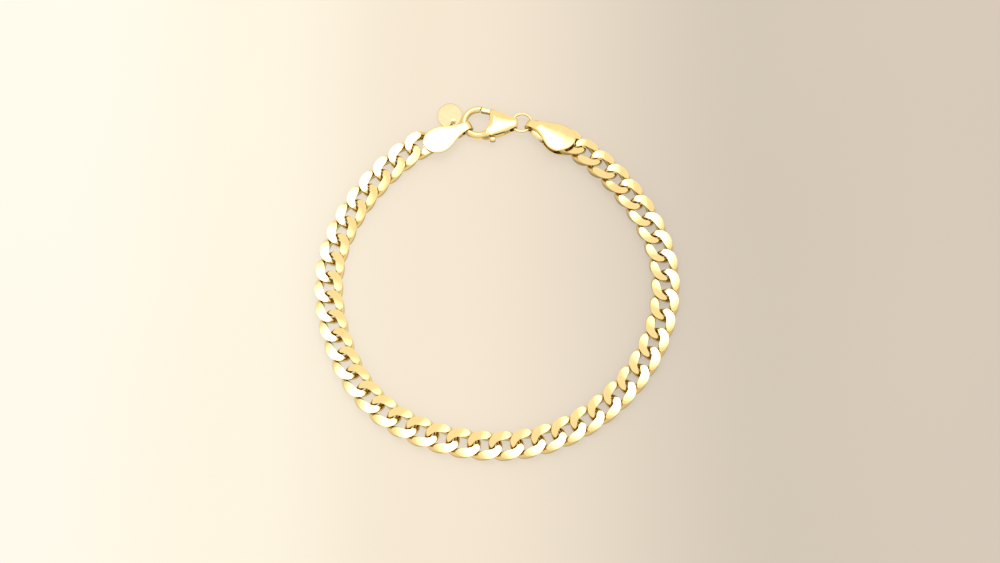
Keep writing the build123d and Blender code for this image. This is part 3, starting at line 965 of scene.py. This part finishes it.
# %% Strip of a cap
ACROSS_STEPS = 20
EDGE_POWER = 30
LEAN_LEVEL_AT = -2.5
FOLD_CROWN = 0.08
UPPER_LEVEL_FROM = 4.0
LOWER_LEVEL_FROM = 5.5


def strip_section(place, normal, front, back, crown, lean=0.0):
    """Outline across the strip, from its front edge to its back edge, with round edges."""
    u = -np.cos(math.pi * np.arange(ACROSS_STEPS + 1) / ACROSS_STEPS)
    v = (back + front) / 2 * u + (back - front) / 2
    half = PLATE / 2 * np.sqrt(np.clip(1 - np.abs(u) ** EDGE_POWER, 0, 1))
    bulge = crown * (1 - u ** 2) + lean * (v - LEAN_LEVEL_AT)
    over, under = bulge + half, bulge - half
    top = np.column_stack([place[0] + normal[0] * over, v, place[1] + normal[1] * over])
    low = np.column_stack([place[0] + normal[0] * under, v, place[1] + normal[1] * under])
    return np.concatenate([top, low[-2:0:-1]])


def plate_stations():
    """Distances from the fold, close together where the lobe's end is round."""
    turns = np.linspace(math.radians(3), math.pi / 2, 14)
    round_end = WIDEST_AT + (CAP_LENGTH - WIDEST_AT) * np.cos(turns)
    return np.concatenate([round_end, np.linspace(WIDEST_AT, FOLD_RADIUS, 16)[1:]])


def cap_strip(
        crown, lean, front_extra, back_extra, neck_extra, lower_fold, lower_front, lower_back):
    """The folded strip; the extras widen the upper lobe, the lower limits cut the lower one."""
    middle = PLATE_HEIGHT - PLATE / 2
    fold_middle = FOLD_RADIUS - PLATE / 2
    fold_radius = (fold_middle + lower_fold) / 2
    fold_centre = fold_middle - fold_radius
    sections = []
    for x in plate_stations():
        rise = np.interp(x, [FOLD_RADIUS, UPPER_LEVEL_FROM], [fold_middle, middle])
        swell = np.interp(x, [3.0, 6.5, 8.5, CAP_LENGTH], [0, 1, 1, 0])
        neck = np.interp(x, [0.0, 1.5, 3.5, 6.0], [0, 1, 1, 0])
        ahead = half_width(x) + front_extra * swell
        behind = half_width(x) + back_extra * swell + neck_extra * neck
        bulge = crown * np.interp(x, [FOLD_RADIUS, 5.0, 8.5, CAP_LENGTH], [0.35, 1, 1, 0.1])
        tilt = lean * np.interp(x, [FOLD_RADIUS, 2 * FOLD_RADIUS], [0, 1])
        sections.append(strip_section((x, rise), (0, 1), ahead, behind, bulge, tilt))
    for turn in np.linspace(100, 260, 17):
        out = (math.cos(math.radians(turn)), math.sin(math.radians(turn)))
        place = (FOLD_RADIUS + fold_middle * out[0], fold_centre + fold_radius * out[1])
        width = half_width(place[0])
        sections.append(strip_section(place, out, width, width, FOLD_CROWN))
    for x in plate_stations()[::-1]:
        drop = np.interp(x, [FOLD_RADIUS, LOWER_LEVEL_FROM], [lower_fold, middle])
        ahead, behind = min(half_width(x), lower_front(x)), min(half_width(x), lower_back(x))
        sections.append(strip_section((x, -drop), (0, -1), ahead, behind, 0.0))
    return loft(sections)


print("stations along one plate:", len(plate_stations()))

# %% [markdown]
# ## The neck of a cap
#
# Filler metal closes the neck between the two plates. On the right cap it also stands
# out in front of the upper plate as a level lip, which catches the light as a white
# band along the neck.

# %% Neck of a cap
END_EASE = 0.12
INTO_PLATE = 0.05
PEG_RADIUS = 0.45
PEG_HALF_LENGTH = 1.2


def neck_filler(start, end, low_fold, lip, front, back):
    """Metal between the plates of the neck, with a level lip along its front edge."""
    sections = []
    for x in np.linspace(start, end, 12):
        ease = END_EASE if x in (start, end) else 0.0
        plate_top = np.interp(x, [FOLD_RADIUS, UPPER_LEVEL_FROM], [FOLD_RADIUS, PLATE_HEIGHT])
        top = plate_top - PLATE + INTO_PLATE
        low = np.interp(x, [FOLD_RADIUS, LOWER_LEVEL_FROM], [low_fold, PLATE_HEIGHT - PLATE / 2])
        f, b = front(x) - ease, back(x) - ease
        reach = f + lip * np.interp(x, [start, start + 0.5, end - 1.1, end], [0.4, 1, 1, 0.1])
        sections.append(np.array([
            (x, -f, -low), (x, -reach, 0.25), (x, -reach + 0.08, 0.35), (x, -f + 0.15, 0.55),
            (x, -f + 0.2, top), (x, b, top), (x, b, -low)]))
    return loft(sections)


def flare(width, growth=0.0, start=0.0):
    """A half width that is level up to a distance from the fold and then grows."""
    return lambda x: width + growth * max(0.0, x - start)


def peg(x, y):
    """The peg that holds the last link between the plates."""
    return rod((x, y, 0), (0, 0, 1), PEG_RADIUS, PEG_HALF_LENGTH)


print("a cap's peg is", 2 * PEG_RADIUS, "mm thick and", 2 * PEG_HALF_LENGTH, "mm long")

# %% [markdown]
# ## Right cap
#
# The right cap is rolled outwards by ten degrees, so that its front edge stands up and
# the fold below it shows. Its lower plate is as wide as the strip, and the lobe of its
# upper plate reaches further out in front than behind.

# %% Right cap
RIGHT_FOLD_AT = (5.7033, 32.5521, 1.8562)
RIGHT_AXES = axes_at(-27.39, 10.0)
RIGHT_FOLD_DROP = 0.70
CAP_RIDGE = 45
UNCUT = flare(math.inf)

right_parts = [
    cap_strip(
        crown=0.28, lean=0.14, front_extra=0.75, back_extra=-0.38, neck_extra=0.12,
        lower_fold=RIGHT_FOLD_DROP, lower_front=UNCUT, lower_back=UNCUT),
    neck_filler(
        start=1.65, end=4.7, low_fold=RIGHT_FOLD_DROP, lip=0.8,
        front=half_width, back=lambda x: half_width(x) - 0.3),
    peg(8.63, 0.54),
]
right_shells = [put(part, RIGHT_FOLD_AT, RIGHT_AXES) for part in right_parts]
right_mesh = mesh_of("right_cap_gold", *right_shells, ridge=CAP_RIDGE)
add_piece("right_cap_gold", right_mesh, clasp_gold, "bracelet", ["right_end_cap"])

# %% [markdown]
# ## Left cap
#
# The left cap is the mirror image and lies almost level. Its lower plate is a narrow
# tongue near the fold, so that the hook and the tag's small ring have room beside it.
# The small ring is soldered to the back of the lower plate and is part of the piece.

# %% Left cap
LEFT_FOLD_AT = (-5.5772, 32.4621, 1.5653)
LEFT_AXES = axes_at(208.49, -4.0, side=-1.0)
LEFT_FOLD_DROP = 1.15
TAG_RING_CENTRE = (-9.6304, 32.5624, 1.0222)
TAG_RING_NORMAL = (0.7849, -0.3660, 0.5)
TAG_RING_RADIUS = 0.9
TAG_RING_WIRE = 0.36
TAG_RING_SEAM_TURN = 200


def mirrored(shell):
    points, faces = shell
    return np.asarray(points) * (1, -1, 1), faces


left_parts = [
    cap_strip(
        crown=0.15, lean=0.0, front_extra=0.1, back_extra=-0.1, neck_extra=0.0,
        lower_fold=LEFT_FOLD_DROP, lower_front=flare(0.85, 0.1, 4.4),
        lower_back=flare(0.9, 0.4, 3.4)),
    neck_filler(
        start=2.5, end=3.5, low_fold=LEFT_FOLD_DROP, lip=0.0,
        front=flare(0.9), back=flare(0.8)),
    peg(9.608, 1.216),
]
left_shells = [put(mirrored(part), LEFT_FOLD_AT, LEFT_AXES) for part in left_parts]
tag_ring = wire_ring(
    TAG_RING_CENTRE, TAG_RING_NORMAL, TAG_RING_RADIUS, TAG_RING_WIRE, TAG_RING_SEAM_TURN)
left_shells.append(put(tag_ring, (0, 0, 0), np.eye(3)))
left_mesh = mesh_of("left_cap_gold", *left_shells, ridge=CAP_RIDGE)
add_piece("left_cap_gold", left_mesh, clasp_gold, "bracelet", ["left_end_cap"])

# %% [markdown]
# ## Tag
#
# The tag is a plain oval of thin sheet, struck with a hole near its lower edge. It hangs
# from a small ring on the left cap and lies on the floor. Its outline and its hole are
# joined by straight rays from the hole's middle, which makes a tidy mesh of quads.

# %% Tag
TAG_CENTRE = (-10.15, 35.2, 0.7009)
TAG_TILT = 10.0
TAG_HALF_WIDTH = 2.58
TAG_HALF_LENGTH = 3.1
TAG_THICKNESS = 0.3
TAG_HOLE = (0.9, -1.85)
TAG_HOLE_RADIUS = 0.4
TAG_EDGE_POWER = 12
TAG_RAYS = 96
RAY_STEPS = 12


def ray_to_oval(direction):
    """Distance from the hole's middle to the tag's edge."""
    half_sizes = np.array([TAG_HALF_WIDTH, TAG_HALF_LENGTH])
    start, step = np.array(TAG_HOLE) / half_sizes, direction / half_sizes
    a, b, c = step @ step, 2 * start @ step, start @ start - 1
    return (math.sqrt(b * b - 4 * a * c) - b) / (2 * a)


tag_sections = []
for turn in np.linspace(0, 2 * math.pi, TAG_RAYS, endpoint=False):
    direction = np.array([math.cos(turn), math.sin(turn)])
    far = ray_to_oval(direction)
    u = -np.cos(math.pi * np.arange(RAY_STEPS + 1) / RAY_STEPS)
    out = TAG_HOLE_RADIUS + (far - TAG_HOLE_RADIUS) * (u + 1) / 2
    half = TAG_THICKNESS / 2 * np.sqrt(np.clip(1 - np.abs(u) ** TAG_EDGE_POWER, 0, 1))
    plan = np.array(TAG_HOLE) + out[:, None] * direction
    top, low = np.column_stack([plan, half]), np.column_stack([plan, -half])
    tag_sections.append(np.concatenate([top, low[-2:0:-1]]))
tag_axes = axes_at(0, TAG_TILT)
tag_plate = put(loft(tag_sections, ring=True), TAG_CENTRE, tag_axes)
tag_mesh = mesh_of("tag_gold_plate", tag_plate, ridge=45)
add_piece("tag_plate", tag_mesh, tag_gold, "bracelet", ["tag"])

# %% [markdown]
# ## Floor
#
# The bracelet lies on a sheet of pale warm paper. Real paper is lit from all sides, so
# it glows a little by itself here, and the bracelet casts only a faint shadow. The light
# of the studio falls off from left to right, and a ramp along the sheet's X direction
# paints that fall into the glow. A fine grain roughens the sheet, and a broad cloud
# varies its tint.

# %% Floor
FLOOR_SIZE = 1.6
PAPER_DARK = (0.165, 0.142, 0.121)
PAPER_PALE = (0.175, 0.153, 0.132)
GLOW_LEFT = -90 * MM
GLOW_RIGHT = 90 * MM
GLOW = [
    (0.0, (0.78, 0.77, 0.69)),
    (0.22, (0.77, 0.73, 0.60)),
    (0.42, (0.69, 0.61, 0.49)),
    (0.80, (0.43, 0.385, 0.325)),
    (1.0, (0.46, 0.40, 0.34)),
]


def glowing_paper():
    material = new_material("floor_paper")
    tree = material.node_tree
    place = add_node(tree, "ShaderNodeTexCoord")
    grain = set_inputs(add_node(tree, "ShaderNodeTexNoise"), Scale=1800.0, Detail=3.0)
    cloud = set_inputs(add_node(tree, "ShaderNodeTexNoise"), Scale=9.0, Detail=2.0)
    tint = two_tones(tree, PAPER_DARK, PAPER_PALE)
    bump = set_inputs(add_node(tree, "ShaderNodeBump"), Strength=0.2, Distance=0.02 * MM)
    side = add_node(tree, "ShaderNodeSeparateXYZ")
    spread = add_node(tree, "ShaderNodeMapRange")
    set_inputs(spread, From_Min=GLOW_LEFT, From_Max=GLOW_RIGHT)
    glow = two_tones(tree, GLOW[0][1], GLOW[-1][1], GLOW[0][0], GLOW[-1][0])
    glow.color_ramp.interpolation = "EASE"
    for position, tone in GLOW[1:-1]:
        glow.color_ramp.elements.new(position).color = (*tone, 1)
    shader = add_node(tree, "ShaderNodeBsdfPrincipled")
    set_inputs(shader, Roughness=0.85, Emission_Strength=1.0)
    out = add_node(tree, "ShaderNodeOutputMaterial")
    link = tree.links.new
    for noise in (grain, cloud):
        link(place.outputs["Object"], noise.inputs["Vector"])
    link(cloud.outputs["Fac"], tint.inputs["Fac"])
    link(tint.outputs["Color"], shader.inputs["Base Color"])
    link(grain.outputs["Fac"], bump.inputs["Height"])
    link(bump.outputs["Normal"], shader.inputs["Normal"])
    link(place.outputs["Object"], side.inputs["Vector"])
    link(side.outputs["X"], spread.inputs["Value"])
    link(spread.outputs["Result"], glow.inputs["Fac"])
    link(glow.outputs["Color"], shader.inputs["Emission Color"])
    link(shader.outputs["BSDF"], out.inputs["Surface"])
    return material


floor_mesh = bpy.data.meshes.new("floor")
half = FLOOR_SIZE / 2
floor_corners = [(-half, -half, 0), (half, -half, 0), (half, half, 0), (-half, half, 0)]
floor_mesh.from_pydata(floor_corners, [], [(0, 1, 2, 3)])
floor_mesh.materials.append(glowing_paper())
floor = bpy.data.objects.new("floor", floor_mesh)
bpy.context.scene.collection.objects.link(floor)
print("floor:", FLOOR_SIZE, "m square")

# %% [markdown]
# ## Soft round light
#
# Polished gold shows what is round it, so the light is what gives each facet its tone.
# A round soft box hangs beyond the clasp, tipped towards the loop. Seen by the camera, a
# level facet mirrors a place between the middle of the box and its rim. A facet that
# leans towards the middle of the loop burns out to white, and one that leans away shows
# the warm room instead. A box with one sharp rim would cut each facet in two, so six
# discs of light hang close together, each smaller than the one below it, and the
# brightness rises in six steps from the rim to the middle.
#
# A disk of diameter `d` and power `P` has a radiance of `P / (pi * pi * d ** 2 / 4)`, so
# each disc gets the power that gives it the same radiance.

# %% Lights
BOX_PLACE = Vector((0, 100, 260)) * MM
BOX_AIM = Vector((0, 10, 0)) * MM
BOX_DIAMETERS = [(198 - 17 * step) * MM for step in range(6)]
BOX_RADIANCE = 0.42

for number, diameter in enumerate(BOX_DIAMETERS):
    data = bpy.data.lights.new(f"soft_box_{number}", "AREA")
    data.shape = "DISK"
    data.size = diameter
    data.energy = BOX_RADIANCE * math.pi * math.pi / 4 * diameter ** 2
    lamp = bpy.data.objects.new(f"soft_box_{number}", data)
    lamp.location = BOX_PLACE + Vector((0, 0, number * MM))
    lamp.rotation_euler = (BOX_AIM - BOX_PLACE).to_track_quat("-Z", "Y").to_euler()
    bpy.context.scene.collection.objects.link(lamp)
print("discs of light:", [round(d / MM) for d in BOX_DIAMETERS], "mm")

# %% [markdown]
# ## The warm room
#
# Everything else that the gold mirrors is the room. It is a warm white overhead and
# darker and browner towards the horizon, so that steep edges get a thin deep outline.
# Colours are shown as they are, without a film curve, because the paper and the white
# facets are almost as bright as the picture can show.

# %% Room
HORIZON_COLOR = (0.55, 0.49, 0.39)
OVERHEAD_COLOR = (1.0, 0.94, 0.83)
HORIZON_ENDS = 0.3
ROOM_STRENGTH = 1.1

world = bpy.data.worlds.new("warm_room")
bpy.context.scene.world = world
world.use_nodes = True
room = world.node_tree
background = room.nodes["Background"]
direction = add_node(room, "ShaderNodeTexCoord")
split = add_node(room, "ShaderNodeSeparateXYZ")
ramp = two_tones(room, HORIZON_COLOR, OVERHEAD_COLOR, 0.0, HORIZON_ENDS)
room.links.new(direction.outputs["Generated"], split.inputs["Vector"])
room.links.new(split.outputs["Z"], ramp.inputs["Fac"])
room.links.new(ramp.outputs["Color"], background.inputs["Color"])
background.inputs["Strength"].default_value = ROOM_STRENGTH
bpy.context.scene.view_settings.view_transform = "Standard"
print("room:", HORIZON_COLOR, "to", OVERHEAD_COLOR)
